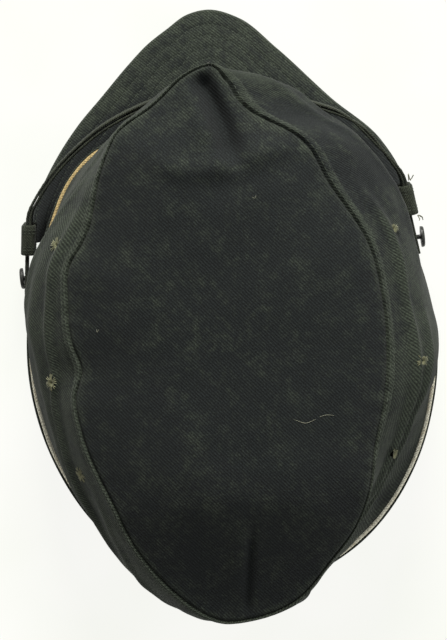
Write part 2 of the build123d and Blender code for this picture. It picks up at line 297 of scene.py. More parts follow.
def rounded_outline(half_across, half_up, corner, steps=3):
    """Points round a rounded rectangle, with a few more along its two tall sides."""
    points = []
    for start, side_x, side_y in ((0, 1, 1), (90, -1, 1), (180, -1, -1), (270, 1, -1)):
        for turn in np.radians(np.linspace(start, start + 90, steps)):
            x = side_x * (half_across - corner) + corner * cos(turn)
            y = side_y * (half_up - corner) + corner * sin(turn)
            points.append((x, y))
        if side_x != side_y:
            points += [(x, share * y) for share in (0.6, 0.2, -0.2, -0.6)]
    points.append(points[0])
    return np.array(points)


def ribbon(path, outward, upward, height, thickness, closed=False, corner=0.35):
    """A grid round a strip on edge: path is its middle line, with its two directions at each point."""
    section = rounded_outline(thickness / 2, height / 2, corner * thickness)
    grid = (
        path[:, None]
        + section[None, :, 0, None] * outward[:, None]
        + section[None, :, 1, None] * upward[:, None]
    )
    if not closed:
        caps = [grid[0].mean(0) + (grid[0] - grid[0].mean(0)) * s for s in (0, 0.8)]
        ends = [grid[-1].mean(0) + (grid[-1] - grid[-1].mean(0)) * s for s in (0.8, 0)]
        grid = np.concatenate([caps, grid, ends])
    u = arc_lengths(grid[:, 0])
    v = arc_lengths(section)
    uv = np.stack(np.meshgrid(u, v, indexing="ij"), -1)
    return grid, uv


def round_grid(path, aside, above, radius, turns, taper=1.0):
    """A grid round a line, with its map. The taper is a share of the radius at each point."""
    round_ = full_turn(turns)
    size = np.broadcast_to(radius * taper, len(path))
    ring = np.cos(round_)[None, :, None] * aside[:, None] + np.sin(round_)[None, :, None] * above[:, None]
    uv = np.stack(np.meshgrid(arc_lengths(path), radius * round_, indexing="ij"), -1)
    return path[:, None] + size[:, None, None] * ring, uv


def tube(path, radius, turns):
    """A grid round a thin round line with pointed ends."""
    ahead = unit(np.gradient(path, axis=0))
    aside = unit(np.cross(ahead, (0.31, 0.17, 0.93)))
    taper = np.sqrt(1 - np.linspace(-1, 1, len(path)) ** 8)
    return round_grid(path, aside, np.cross(ahead, aside), radius, turns, taper)


def stitch_places(line, normals, pitch):
    """Middle, direction and normal of each stitch along a line."""
    length = arc_lengths(line)
    marks = np.arange(pitch / 2, length[-1], pitch)
    rows = (line, np.gradient(line, axis=0), normals)
    middle, ahead, above = (values_along(values, length, marks) for values in rows)
    return middle, unit(ahead), unit(above)


def stitch_piece(name, rows, material, body, length, width, pitch):
    """One piece of all the stitches along these (line, normals) rows."""
    rings, turns, sunk = 5, 6, 0.02
    station = np.linspace(-1, 1, rings)
    swell = np.sqrt(1 - 0.96 * station**2)
    round_ = np.linspace(0, 2 * pi, turns, endpoint=False)
    points, faces, wear = [], [], []
    for seed, (line, normals) in enumerate(rows):
        middle, ahead, above = stitch_places(line, normals, pitch)
        aside = np.cross(ahead, above)
        jitter = wrinkle(middle, 2.0, seed)[:, None]
        ahead = unit(ahead + 0.12 * jitter * aside)
        middle = middle + above * (width * 0.18 - sunk)
        for m, a, n, s, j in zip(middle, ahead, above, aside, jitter[:, 0]):
            first = len(points) * rings * turns
            reach = length / 2 * (1 + 0.25 * j)
            stations = m + station[:, None] * reach * a - (station[:, None] ** 2) * 0.3 * width * n
            ring = np.cos(round_)[:, None] * s * width / 2 + np.sin(round_)[:, None] * n * width / 2.6
            points.append(stations[:, None] + swell[:, None, None] * ring[None])
            wear.append(np.full(rings * turns, 0.5 + 0.5 * j))
            for k in range(rings - 1):
                for i in range(turns):
                    low, high = first + k * turns, first + (k + 1) * turns
                    faces.append((low + i, low + (i + 1) % turns, high + (i + 1) % turns, high + i))
            faces.append(tuple(first + i for i in reversed(range(turns))))
            faces.append(tuple(first + (rings - 1) * turns + i for i in range(turns)))
    mesh = bpy.data.meshes.new(name)
    mesh.from_pydata((np.concatenate(points).reshape(-1, 3) * MM).tolist(), [], faces)
    set_wear(mesh, np.concatenate(wear))
    mesh.uv_layers.new(name="UVMap")
    return finish_piece(name, mesh, material, body)


# ---- materials ----


def node(tree, kind, inputs=None, **settings):
    """A new node with its settings, and its inputs set to values or linked to sockets."""
    made = tree.nodes.new(kind)
    for name, value in settings.items():
        setattr(made, name, value)
    for name, value in (inputs or {}).items():
        if isinstance(value, bpy.types.NodeSocket):
            tree.links.new(value, made.inputs[name])
        else:
            made.inputs[name].default_value = value
    return made


def new_material(name, roughness, sheen=0.0, specular=0.3):
    material = bpy.data.materials.new(name)
    material.use_nodes = True
    tree = material.node_tree
    shader = tree.nodes["Principled BSDF"]
    shader.inputs["Roughness"].default_value = roughness
    shader.inputs["Specular IOR Level"].default_value = specular
    shader.inputs["Sheen Weight"].default_value = sheen
    shader.inputs["Sheen Roughness"].default_value = 0.45
    return material, tree, shader


def coordinates(tree, kind):
    return node(tree, "ShaderNodeTexCoord").outputs[kind]


def wear_value(tree):
    return node(tree, "ShaderNodeAttribute", attribute_name="wear").outputs["Fac"]


def colour_and_bump(tree, shader, colour, height, strength, distance):
    """Gives a shader its colour, and a fine relief from a height of up to this many millimetres."""
    tree.links.new(colour, shader.inputs["Base Color"])
    bump = node(tree, "ShaderNodeBump", {"Strength": strength, "Distance": distance * MM, "Height": height})
    tree.links.new(bump.outputs[0], shader.inputs["Normal"])


def math_node(tree, operation, first, second):
    made = node(tree, "ShaderNodeMath", {0: first, 1: second}, operation=operation)
    return made.outputs[0]


def times(tree, first, second):
    return math_node(tree, "MULTIPLY", first, second)


def plus(tree, first, second):
    return math_node(tree, "ADD", first, second)


def around_zero(tree, value, strength):
    """A value of 0 to 1 moved to lie about zero, and strengthened."""
    return times(tree, math_node(tree, "SUBTRACT", value, 0.5), strength)


def noise_value(tree, vector, size, detail=2.0, roughness=0.5):
    """Noise of about this size in millimetres, from 0 to 1."""
    inputs = {"Vector": vector, "Scale": 1 / (size * MM), "Detail": detail, "Roughness": roughness}
    return node(tree, "ShaderNodeTexNoise", inputs).outputs["Fac"]


def cells_node(tree, vector, size, **settings):
    """Cells of about this size in millimetres."""
    return node(tree, "ShaderNodeTexVoronoi", {"Vector": vector, "Scale": 1 / (size * MM)}, **settings)


def lines_value(tree, vector, spacing, distortion=0.0):
    """Soft parallel lines across X, this far apart in millimetres, from 0 to 1."""
    inputs = {
        "Vector": vector,
        "Scale": 0.1 * pi / (spacing * MM),
        "Distortion": distortion,
        "Detail": 1.0,
        "Detail Scale": 2.0,
    }
    return node(tree, "ShaderNodeTexWave", inputs).outputs["Fac"]


def turned(tree, vector, degrees):
    inputs = {"Vector": vector, "Rotation": (0, 0, radians(degrees))}
    return node(tree, "ShaderNodeMapping", inputs).outputs[0]


def spread(tree, value, low, high, to_low=0.0, to_high=1.0):
    inputs = {"Value": value, 1: low, 2: high, 3: to_low, 4: to_high}
    return node(tree, "ShaderNodeMapRange", inputs, interpolation_type="SMOOTHSTEP").outputs[0]


def mixed(tree, share, first, second, blend="MIX"):
    """Two colours mixed by a share."""
    made = node(tree, "ShaderNodeMix", {0: share}, data_type="RGBA", blend_type=blend)
    for socket, value in ((made.inputs[6], first), (made.inputs[7], second)):
        if isinstance(value, bpy.types.NodeSocket):
            tree.links.new(value, socket)
        else:
            socket.default_value = (*value, 1.0)
    return made.outputs[2]


def woven_material(name, new, worn, lint=(0.36, 0.37, 0.31), line_angle=-45.0, spacing=1.05,
                   roughness=0.92, line_depth=0.6, lint_share=0.5):
    """Twill: slanting lines of yarn, mottled by wear, with a little lint."""
    material, tree, shader = new_material(name, roughness, sheen=0.05)
    uv = coordinates(tree, "UV")
    slant = turned(tree, uv, line_angle)
    lines = lines_value(tree, slant, spacing, distortion=0.5)
    yarns = lines_value(tree, turned(tree, uv, line_angle + 62), 0.55 * spacing, distortion=0.4)
    fibres = noise_value(tree, uv, 0.75, detail=3.0, roughness=0.7)
    patches = noise_value(tree, uv, 11.0, detail=4.0, roughness=0.62)
    blotches = noise_value(tree, uv, 2.6, detail=3.0, roughness=0.6)
    uneven = plus(tree, wear_value(tree), around_zero(tree, patches, 1.5))
    share = plus(tree, uneven, around_zero(tree, blotches, 1.3))
    weave = plus(tree, times(tree, lines, 0.7), times(tree, yarns, 0.3))
    colour = mixed(tree, spread(tree, share, 0.0, 1.0), new, worn)
    shade = spread(tree, weave, 0.0, 1.0, 1.0 - line_depth, 1.0 + line_depth)
    fuzz = spread(tree, fibres, 0.25, 0.75, 0.35, 1.65)
    colour = mixed(tree, 1.0, colour, times(tree, shade, fuzz), "MULTIPLY")
    specks = cells_node(tree, uv, 5.5)
    near = spread(tree, specks.outputs["Distance"], 0.03, 0.075, 1.0, 0.0)
    chosen = math_node(tree, "GREATER_THAN", specks.outputs["Color"], 1.0 - 0.14 * lint_share)
    fluff = times(tree, times(tree, near, chosen), 0.55)
    height = plus(tree, weave, times(tree, fibres, 0.6))
    colour_and_bump(tree, shader, mixed(tree, fluff, colour, lint), height, 0.7, 0.2)
    return material


def thread_material(name, dark, pale):
    """Twisted sewing thread, some of it faded."""
    material, tree, shader = new_material(name, 0.8, sheen=0.2)
    place = coordinates(tree, "Object")
    patches = noise_value(tree, place, 9.0, detail=3.0)
    faded = spread(tree, patches, 0.3, 0.7, 0.0, 0.6)
    share = plus(tree, times(tree, wear_value(tree), 0.4), faded)
    twist = noise_value(tree, place, 0.25, detail=1.0)
    colour = mixed(tree, share, dark, pale)
    colour = mixed(tree, 1.0, colour, spread(tree, twist, 0.3, 0.7, 0.75, 1.2), "MULTIPLY")
    colour_and_bump(tree, shader, colour, twist, 0.6, 0.08)
    return material


def moulded_material(name, colour, roughness, specular=0.4, grain=0.35):
    """Moulded plastic or rubber with a fine grain, scuffed in places."""
    material, tree, shader = new_material(name, roughness, specular=specular)
    place = coordinates(tree, "Object")
    pebble = noise_value(tree, place, grain, detail=2.0)
    scuffs = noise_value(tree, place, 6.0, detail=5.0, roughness=0.7)
    worn = tuple(min(1.0, 1.35 * c + 0.02) for c in colour)
    dull = spread(tree, scuffs, 0.35, 0.7, roughness - 0.08, roughness + 0.12)
    tree.links.new(dull, shader.inputs["Roughness"])
    scuffed = mixed(tree, spread(tree, scuffs, 0.45, 0.7), colour, worn)
    colour_and_bump(tree, shader, scuffed, pebble, 0.4, 0.06)
    return material


def leather_material(name, colour, worn):
    """Smooth thin leather, creased and darkened by wear."""
    material, tree, shader = new_material(name, 0.5, specular=0.4)
    uv = coordinates(tree, "UV")
    cells = cells_node(tree, uv, 1.1, feature="SMOOTH_F1")
    stains = noise_value(tree, uv, 18.0, detail=4.0)
    stained = mixed(tree, spread(tree, stains, 0.35, 0.65), colour, worn)
    colour_and_bump(tree, shader, stained, cells.outputs["Distance"], 0.5, 0.1)
    return material


def looped_material(name, colour):
    """The short loops of hook-and-loop tape."""
    material, tree, shader = new_material(name, 0.95, sheen=0.3)
    loops = cells_node(tree, coordinates(tree, "Object"), 0.6).outputs["Distance"]
    shaded = mixed(tree, loops, colour, tuple(0.4 * c for c in colour))
    colour_and_bump(tree, shader, shaded, loops, 0.8, 0.3)
    return material


navy, olive = (0.0084, 0.0106, 0.0106), (0.031, 0.038, 0.027)
twill = woven_material("navy_twill", navy, olive)
strap_twill = woven_material("strap_twill", (0.012, 0.014, 0.011), (0.036, 0.041, 0.027), spacing=0.8)
lining_cloth = woven_material(
    "lining_cotton", (0.05, 0.05, 0.045), (0.09, 0.085, 0.07), spacing=0.5, line_depth=0.12, lint_share=0.0
)
piping_cotton = woven_material(
    "piping_cotton", (0.88, 0.85, 0.70), (0.42, 0.31, 0.14), lint=(0.9, 0.88, 0.75), spacing=0.9,
    line_depth=0.2, roughness=0.8,
)
seam_thread = thread_material("seam_thread", (0.020, 0.026, 0.018), (0.070, 0.085, 0.060))
eyelet_thread = thread_material("eyelet_thread", (0.07, 0.075, 0.04), (0.34, 0.33, 0.19))
frayed_thread = thread_material("frayed_thread", (0.10, 0.11, 0.075), (0.32, 0.31, 0.24))
button_black = moulded_material("button_black", (0.016, 0.017, 0.014), 0.42)
board_card = moulded_material("board_card", (0.25, 0.20, 0.14), 0.9, specular=0.1, grain=0.8)
shell_plastic = moulded_material("shell_plastic", (0.035, 0.036, 0.038), 0.5)
trim_rubber = moulded_material("trim_rubber", (0.012, 0.012, 0.012), 0.75, grain=0.5)
sweat_leather = leather_material("sweatband_leather", (0.19, 0.10, 0.045), (0.10, 0.05, 0.024))
tape_loops = looped_material("tape_loops", (0.02, 0.02, 0.022))
pad_cloth = woven_material(
    "pad_cloth", (0.035, 0.037, 0.04), (0.06, 0.062, 0.064), spacing=1.1, line_angle=0.0, line_depth=0.2,
    lint_share=0.0,
)


# ---- the crown ----


def outline(level, name):
    """One side of a level of the crown as plan points, from the front to the back."""
    turn = np.radians(angles)
    length = np.where(angles < 90, level.front, level.back)
    across = level.half_width * np.sin(turn).clip(0) ** level.sharpness
    x = sides[name] * (across + through(level.shifts[name], angles))
    y = -length * np.cos(turn)
    return turn_plan(np.stack([x, y], -1), level.turn)


def turn_plan(plan, degrees):
    """Plan points of the crown's own axes as points of the frame."""
    c, s = cos(radians(degrees)), sin(radians(degrees))
    x, y = plan[..., 0], plan[..., 1]
    return np.stack([x * c - y * s, x * s + y * c + middle_y], -1)


def band_oval(turn, height, inset):
    """Points on an oval this far inside the band's outer face, by the angle round from the front."""
    out = band_flare * height / band_height - inset
    x = (band_half_width + out) * np.sin(turn)
    y = -(band_half_length + out) * np.cos(turn) + middle_y
    return raise_plan(np.stack([x, y], -1), height)


def inset_of(across, height):
    """How far inside the band's outer face a point is, where the band is widest."""
    return band_half_width + band_flare * height / band_height - across


def worn_oval(turn, height, inset):
    """The same oval of the outer cloth, which a head has pushed out at the left front of its upper edge."""
    oval = band_oval(turn, height, inset)
    outward = unit(oval - (0, middle_y, height))
    push = front_push * hump(np.degrees(turn) - front_push_turn, front_push_spread) * height / band_height
    return oval + outward * push[:, None]


def seam_rise(y):
    """How high the seam stands at this place along the cap."""
    behind = y - middle_y
    return seam_height - front_drop * ramp(-behind, 78, 118) - rear_drop * ramp(behind, 50, 112)


def seam_line(name):
    """The seam round the top panel on one side."""
    plan = outline(seam_level, name)
    return raise_plan(plan, seam_rise(plan[:, 1]))


def seam_distance(name, places):
    """How far each place is from one side's seam, seen from above."""
    line = seam_line(name)[:, :2]
    knots = arc_lengths(line)
    fine = np.linspace(0, knots[-1], 4 * len(knots))
    tree = kdtree.KDTree(len(fine))
    for i, at in enumerate(fine):
        tree.insert((np.interp(at, knots, line[:, 0]), np.interp(at, knots, line[:, 1]), 0), i)
    tree.balance()
    flat = places.reshape(-1, 2)
    return np.array([tree.find((x, y, 0))[2] for x, y in flat]).reshape(places.shape[:-1])


def pucker(name):
    """How the stitching ripples the cloth beside the seam, at each place along it."""
    line = seam_line(name)
    return 0.55 * wrinkle(line, 5.0, 3) + 0.25 * wrinkle(line, 2.4, 4)


def seam_groove(from_seam):
    """How far the cloth is drawn in at the seam."""
    return -1.5 * hump(from_seam, 0.55)


def side_surface(name, inset=0.0):
    """A side panel's points and outward normals, their distance from the seam and the folds' lift."""
    shares = split_shares(1 - seam_zone / panel_height, 42, 22)
    seam = seam_line(name)[:, None]
    behind = outline(bulge_level, name)[:, 1] - middle_y
    bulge_height = bulge_level.height - 0.45 * rear_drop * ramp(behind, 50, 112)
    bulge = raise_plan(outline(bulge_level, name), bulge_height)[:, None]
    low = worn_oval(np.radians(angles) * sides[name], band_height + 2.2, 2.6)[:, None]
    v = shares[None, :, None]
    points = low * (1 - v) * (1 - 2 * v) + 4 * bulge * v * (1 - v) + seam * v * (2 * v - 1)
    normals = grid_normals(points) * sides[name]
    up = shares[None, :] * panel_height
    from_seam = panel_height - up
    along = np.broadcast_to(angles[:, None], (len(angles), len(shares)))
    lift = sum(fold_lift(along, up, fold) for fold in side_folds[name])
    lift = lift + 1.1 * wrinkle(points, 22.0, 1) + 0.35 * wrinkle(points, 8.0, 2)
    free = 1 - hump(from_seam, 5.0) - hump(up, 5.0)
    raised = ramp(from_seam, 0.3, 1.1) * (1 - ramp(from_seam, allowance - 0.5, allowance + 0.3))
    rows = -0.25 * sum(hump(from_seam - distance, 0.35) for distance in topstitch_places)
    ripple = pucker(name)[:, None] * hump(from_seam, 6.0)
    points = points + normals * (lift * free + raised + rows - inset)[..., None]
    points[..., 2] += seam_groove(from_seam) + ripple
    return points, normals, np.broadcast_to(from_seam, points.shape[:2]), lift * free


def top_height(x, y):
    """How high the top panel's middle stands at a place on the crown's own axes."""
    front = 12.0 * ramp(-y, 72, 122)
    rear = 25.0 * ramp(y, 46, 114)
    return crown_height - 0.6 - front - rear - 2.0 * (x / seam_level.half_width) ** 2


def top_surface(name):
    """One half of the top panel: its points, their distance from the seam, their map and the folds' lift."""
    shares = split_shares(1 - seam_zone / seam_level.half_width, 54, 20)
    seams = {side: turn_back(seam_line(side)) for side in sides}
    seam = seams[name]
    spine = 0.5 * (seams["left"] + seams["right"]) * (1, 0.75, 1)
    r = shares[None, :, None]
    own = spine[:, None, :2] + r * (seam - spine)[:, None, :2]
    x, y = own[..., 0], own[..., 1]
    plan = turn_plan(own, seam_level.turn)
    near = [np.maximum(seam_distance(side, plan), 0.001) for side in sides]
    from_seam = sum(distance**-4 for distance in near) ** -0.25
    edge = seam_rise(plan[..., 1])
    fullness = 1 - (1 - from_seam / seam_level.half_width).clip(0) ** 3.4
    height = edge + (top_height(x, y) - edge) * fullness
    lift = sum(fold_lift(y, x, fold) for fold in top_folds)
    flat = np.stack([x, y], -1)
    lift = lift + 0.8 * wrinkle(flat, 30.0, 5) + 0.25 * wrinkle(flat, 11.0, 6)
    free = 1 - hump(from_seam, 5.0)
    ripple = pucker(name)[:, None] * hump(from_seam, 4.5)
    height = height + lift * free + seam_groove(from_seam) + ripple
    return raise_plan(plan, height), from_seam, own, lift * free


def turn_back(points):
    """Frame points on the crown's own axes."""
    c, s = cos(radians(seam_level.turn)), sin(radians(seam_level.turn))
    x, y = points[..., 0], points[..., 1] - middle_y
    return np.stack([x * c + y * s, -x * s + y * c, points[..., 2]], -1)


def panel_map(name, points, from_seam):
    """A cloth map for a side panel: along the band, and up the panel."""
    along = -sides[name] * arc_lengths(points[:, points.shape[1] // 2])[:, None]
    return np.stack([np.broadcast_to(along, from_seam.shape), panel_height - from_seam], -1)


eyelet_hole, eyelet_stitch_count = 1.3, 22
eyelet_shift = np.array((-5.0, 3.0, 10.0))      # in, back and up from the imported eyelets
eyelet_fray = {"left": 2.6, "right": 0.8}


def eyelet_axes(name):
    """The middle of each ventilation eyelet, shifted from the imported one."""
    mesh = frame["nodes"][f"eyelets_{name}"].data
    places = np.array([v.co for v in mesh.vertices]) / MM
    order = places[np.argsort(places[:, 1])]
    gaps = np.argsort(np.diff(order[:, 1]))[-2:] + 1
    return [group.mean(0) + eyelet_shift * (sides[name], 1, 1) for group in np.split(order, sorted(gaps))]


def open_holes(piece, name, surface, normals):
    """Takes the faces out of a panel at its eyelets."""
    work = bmesh.new()
    work.from_mesh(piece.data)
    centres = [Vector(nearest(surface, normals, place)[0]) * MM for place in eyelet_axes(name)]
    gone = [
        f for f in work.faces
        if any((f.calc_center_median() - c).length < (eyelet_hole + 0.3) * MM for c in centres)
    ]
    bmesh.ops.delete(work, geom=gone, context="FACES")
    work.to_mesh(piece.data)
    work.free()


def nearest(points, normals, place):
    """The surface point closest to a place, and its normal."""
    flat = points.reshape(-1, 3)
    i = np.argmin(np.linalg.norm(flat - place, axis=-1))
    return flat[i], normals.reshape(-1, 3)[i]


def eyelet_piece(name, surface, normals):
    """Hand-worked eyelets: stitches laid round each hole, a little uneven."""
    rows = []
    for k, place in enumerate(eyelet_axes(name)):
        middle, out = nearest(surface, normals, place)
        aside = unit(np.cross(out, (0, 0, 1)))
        above = np.cross(aside, out)
        for turn in full_turn(eyelet_stitch_count)[:-1]:
            ahead = cos(turn) * aside * 0.85 + sin(turn) * above * 1.15
            reach = 2.4 + eyelet_fray[name] * sin(7 * turn + 2 * k) ** 2 * abs(sin(3 * turn + k))
            places = ((0.8, -0.5), (1.6, 0.4), (reach, 0.15))
            line = np.array([middle + ahead * along + out * above_cloth for along, above_cloth in places])
            rows.append((line, np.array([out] * 3)))
    piece = stitch_piece(
        f"eyelet_stitches_{name}", rows, eyelet_thread, "cap", length=2.1, width=0.42, pitch=1.6
    )
    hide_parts(f"eyelets_{name}")


painted_front_shade = {"left": 0.0, "right": 0.55}      # painted shade: the wear is lowered at the right front, so the cloth there is darker
painted_front_shade_turn, painted_front_shade_spread = 46, 24
seam_rows = []
for name in sides:
    points, normals, from_seam, lift = side_surface(name)
    wear = 0.62 + 0.35 * (1 - ramp(from_seam, allowance - 0.4, allowance + 1.2)) + 0.2 * lift
    # painted shade at the right front panel, taken off the wear so that the twill turns a darker navy
    wear = wear - painted_front_shade[name] * hump(angles - painted_front_shade_turn, painted_front_shade_spread)[:, None]
    uv = panel_map(name, points, from_seam)
    panel = grid_piece(
        f"side_cloth_{name}", points, uv, twill, "cap", wear, [f"side_panel_{name}"]
    )
    open_holes(panel, name, points, normals)
    eyelet_piece(name, points, normals)
    inner_points, inner_normals, *_ = side_surface(name, inset=cloth + 0.8)
    lining = grid_piece(
        f"lining_cloth_{name}", inner_points, uv, lining_cloth, "cap", 0.4, [f"lining_{name}"]
    )
    open_holes(lining, name, inner_points, inner_normals)
    for distance in topstitch_places:
        column = np.argmin(abs(from_seam[0] - distance))
        seam_rows.append((points[:, column], normals[:, column]))
stitch_piece("crown_topstitching", seam_rows, seam_thread, "cap", length=2.0, width=0.36, pitch=2.7)

top_grid, top_from_seam, top_own, top_lift = (
    np.concatenate([right[:, ::-1], left], 1)
    for right, left in zip(top_surface("right"), top_surface("left"))
)
top_wear = 0.12 + 0.35 * hump(top_from_seam, 2.5) + 0.10 * top_lift + 0.12 * ramp(-top_own[..., 1], 60, 100)
grid_piece("top_cloth", top_grid, top_own, twill, "cap", top_wear, ["crown_top"])
lining_grid = top_grid - (0, 0, cloth + 1.6)
grid_piece("lining_cloth_top", lining_grid, top_own, lining_cloth, "cap", 0.4, ["lining_top"])


# ---- the band and its piping ----


def band_ring(low, high, inset, thickness, seed, wave=0.35, oval=worn_oval):
    """A closed strip round the head as a grid, with its map."""
    turn = full_turn(420)
    bottom, top = (oval(turn, height, inset + thickness / 2) for height in (low, high))
    path = (bottom + top) / 2
    upward = unit(top - bottom)
    outward = unit(np.cross(unit(np.gradient(path, axis=0)), upward))
    outward[[0, -1]] = unit((outward[1] + outward[-2]) / 2)
    upward[-1] = upward[0]
    path = path + outward * wave * ring_noise(turn, 26.0, seed)[:, None]
    return ribbon(path, outward, upward, high - low, thickness, closed=True)


turning = 0.9       # of the band's upper edge, up against the piping
cover_points, cover_uv = band_ring(0, band_height + turning, 0, cloth, 11)
grid_piece("band_cloth", cover_points, cover_uv, twill, "cap", 0.6, ["band_cover"])
sweat_low, sweat_high = cad_box("sweatband")
sweat_inset = inset_of(sweat_high[0], sweat_high[2])
sweat_thickness = 1.5
sweat_points, sweat_uv = band_ring(
    sweat_low[2], sweat_high[2], sweat_inset, sweat_thickness, 12, 0.2, band_oval
)
grid_piece(
    "sweatband_strip", sweat_points, sweat_uv, sweat_leather, "cap", 0.5, ["sweatband"]
)


def ring_row(height, inset, oval=worn_oval):
    """A stitching line round the band, with its normals."""
    line = oval(full_turn(600), height, inset)
    outward = unit(np.cross(np.gradient(line, axis=0), (0, 0, 1)))
    return line, outward if outward[0] @ (line[0] - (0, middle_y, height)) > 0 else -outward


band_rows = [ring_row(height, 0.0) for height in (2.5, band_height - 3.0)]
stitch_piece("band_topstitching", band_rows, seam_thread, "cap", length=2.0, width=0.36, pitch=2.9)
sweat_line, sweat_normals = ring_row(sweat_high[2] - 2.0, sweat_inset + sweat_thickness, band_oval)
sweat_rows = [(sweat_line, -sweat_normals)]
stitch_piece("sweatband_stitching", sweat_rows, frayed_thread, "cap", length=2.4, width=0.4, pitch=3.4)


def piping_cord():
    """The cord in the seam above the band, as a closed tube that wavers a little."""
    turn = full_turn(600)
    middle_height = (piping_low[2] + piping_high[2]) / 2
    inset = inset_of(piping_high[0] - piping_radius, middle_height)
    path = worn_oval(turn, middle_height, inset)
    outward = unit(path - (0, middle_y, middle_height))
    path = path + outward * 0.35 * ring_noise(turn, 14.0, 13)[:, None]
    path[:, 2] += 0.25 * ring_noise(turn, 18.0, 14)
    upward = np.broadcast_to((0, 0, 1.0), path.shape)
    grid, uv = round_grid(path, outward, upward, piping_radius, turns=12)
    # tan towards the front and cream at the back: partly yellowing with wear, partly painted shade
    wear = 0.2 + ramp(middle_y - path[:, 1], 10, 60)
    return grid, uv, np.broadcast_to(wear[:, None], grid.shape[:2])


piping_points, piping_uv, piping_wear_and_shade = piping_cord()
grid_piece(
    "piping_cord", piping_points, piping_uv, piping_cotton, "cap", piping_wear_and_shade, ["piping"]
)


# ---- the peak ----

peak_rise, peak_pitch, peak_bend_radius = 22.0, 14.0, 142.0
peak_half_thickness = 1.9
# outline seen from above, from the middle of the band; worn over to the right
peak_outline = (
    (81.5, -55.0), (80.8, -66.0), (76.0, -77.0), (66.0, -92.5), (55.8, -104.5), (45.0, -114.8),
    (31.8, -127.6), (22.7, -135.5), (13.3, -141.5), (4.9, -146.5), (-5.0, -148.0), (-18.0, -143.0),
    (-32.8, -128.4), (-54.4, -104.2), (-74.2, -84.6), (-82.2, -67.0), (-82.0, -55.0),
)
row_gap, first_row, row_count = 5.0, 2.0, 5


def peak_middle(plan):
    """Heights of the middle of the peak's thickness: it is bent down at the sides and slopes to its tip."""
    pitch = radians(peak_pitch)
    ahead = plan[..., 1] + band_half_length - middle_y
    drop = peak_bend_radius - np.sqrt(peak_bend_radius**2 - plan[..., 0] ** 2)
    return peak_rise + tan(pitch) * ahead - drop / cos(pitch)


def peak_plan():
    """Edge and root points of the peak in plan, from its left end to its right end."""
    outer = np.array(peak_outline) + (0, middle_y)
    knots = arc_lengths(outer)
    steps = np.linspace(0, knots[-1], 321)
    edge = smooth_along(knots, outer, steps)
    end_turn = np.arccos((middle_y - outer[0, 1]) / band_half_length)
    along = arc_lengths(edge)
    turn = end_turn * (1 - 2 * along / along[-1])
    root = band_oval(turn, peak_rise, -0.2)[:, :2]
    return edge, root


def peak_surface(side):
    """The upper (1) or under (-1) face of the peak as a grid from its edge to its root."""
    edge, root = peak_plan()
    reach = root - edge
    length = np.linalg.norm(reach, axis=-1)
    inward = unit(np.gradient(edge, axis=0)[:, ::-1] * (-1, 1))
    square = abs(np.sum(unit(reach) * inward, -1)).clip(0.35)
    shares = split_shares(0.12, 14, 62)
    from_root = (1 - shares[None, :]) * length[:, None]
    plan = edge[:, None] + shares[None, :, None] * reach[:, None]
    from_edge = shares[None, :] * (length * square)[:, None]
    over = np.clip(1 - from_edge / peak_half_thickness, 0, 1)
    half = peak_half_thickness * np.sqrt(1 - over**2)
    quilt = sum(-0.32 * hump(from_edge - first_row - row_gap * i, 0.7) for i in range(row_count))
    swell = 0.35 * wrinkle(plan, 16.0, 21) + 0.12 * wrinkle(plan, 6.0, 22)
    height = peak_middle(plan) + side * (half + quilt) + swell * ramp(from_edge, 0, 4)
    return raise_plan(plan, height), plan, from_edge, from_root


for name, side, cover in (
    ("peak_upper_cloth", 1, "visor_top_cover"), ("peak_under_cloth", -1, "visor_under_cover")
):
    points, uv, from_edge, from_root = peak_surface(side)
    # paler at the edge from wear; darker within about 20 mm of the root, which is painted shadow of the
    # strap
    wear = 0.52 + 0.4 * hump(from_edge, 1.6) - 0.9 * (1 - ramp(from_root, 8, 20))
    grid_piece(name, points, uv, twill, "cap", wear, [cover])

peak_points, _, from_edge, _ = peak_surface(1)
peak_normals = grid_normals(peak_points)
peak_normals *= np.sign(peak_normals[..., 2:3])


def peak_row(distance):
    """A line of stitching this far inside the peak's edge, where there is room for it."""
    line, normals = [], []
    for points, out, away in zip(peak_points, peak_normals, from_edge):
        if away[-1] < distance + 1.0:
            continue
        line.append(values_along(points, away, distance))
        normals.append(values_along(out, away, distance))
    return np.array(line), np.array(normals)


peak_rows = [peak_row(first_row + row_gap * i) for i in range(row_count)]
stitch_piece("peak_topstitching", peak_rows, seam_thread, "cap", length=2.1, width=0.36, pitch=2.7)


# ---- the chin strap, its keepers and its buttons ----

strap_slope, strap_height, strap_layer = 9.0, 12.0, 1.1
strap_front, strap_corner_radius = 72.0, 14.0
button_x, keeper_end_x, straight_run = 83.9, 80.6, 24.5
strap_tail, strap_far_end = 6.5, -10.5
strap_lean = atan2(button_x - keeper_end_x, straight_run)
corner_x = keeper_end_x - strap_corner_radius * cos(strap_lean)
corner_y = -straight_run + strap_corner_radius * sin(strap_lean)
front_reach = strap_front - strap_corner_radius
front_centre = (corner_x**2 + corner_y**2 - front_reach**2) / (2 * (front_reach + corner_y))
front_radius = front_centre + strap_front
front_turn = atan2(corner_y - front_centre, corner_x)


def strap_line(offset, left_tail, right_tail):
    """The strap's line in its own plane from the left end round the front to the right end."""
    halves = []
    for side, tail in ((1, left_tail), (-1, right_tail)):
        ahead = np.array((-sin(strap_lean), -cos(strap_lean)))
        out = np.array((cos(strap_lean), -sin(strap_lean)))
        start = np.array((button_x, 0.0)) - tail * ahead + offset * out
        end = np.array((keeper_end_x, -straight_run)) + offset * out
        run = start + np.linspace(0, 1, 40)[:, None] * (end - start)
        turn = np.linspace(-strap_lean, front_turn, 20)[1:, None]
        radius = strap_corner_radius + offset
        bend = np.concatenate([corner_x + radius * np.cos(turn), corner_y + radius * np.sin(turn)], -1)
        turn = np.linspace(front_turn, -pi / 2, 90)[1:, None]
        radius = front_radius + offset
        front = np.concatenate([radius * np.cos(turn), front_centre + radius * np.sin(turn)], -1)
        halves.append(np.concatenate([run, bend, front]) * (side, 1))
    return np.concatenate([halves[0], halves[1][-2::-1]])


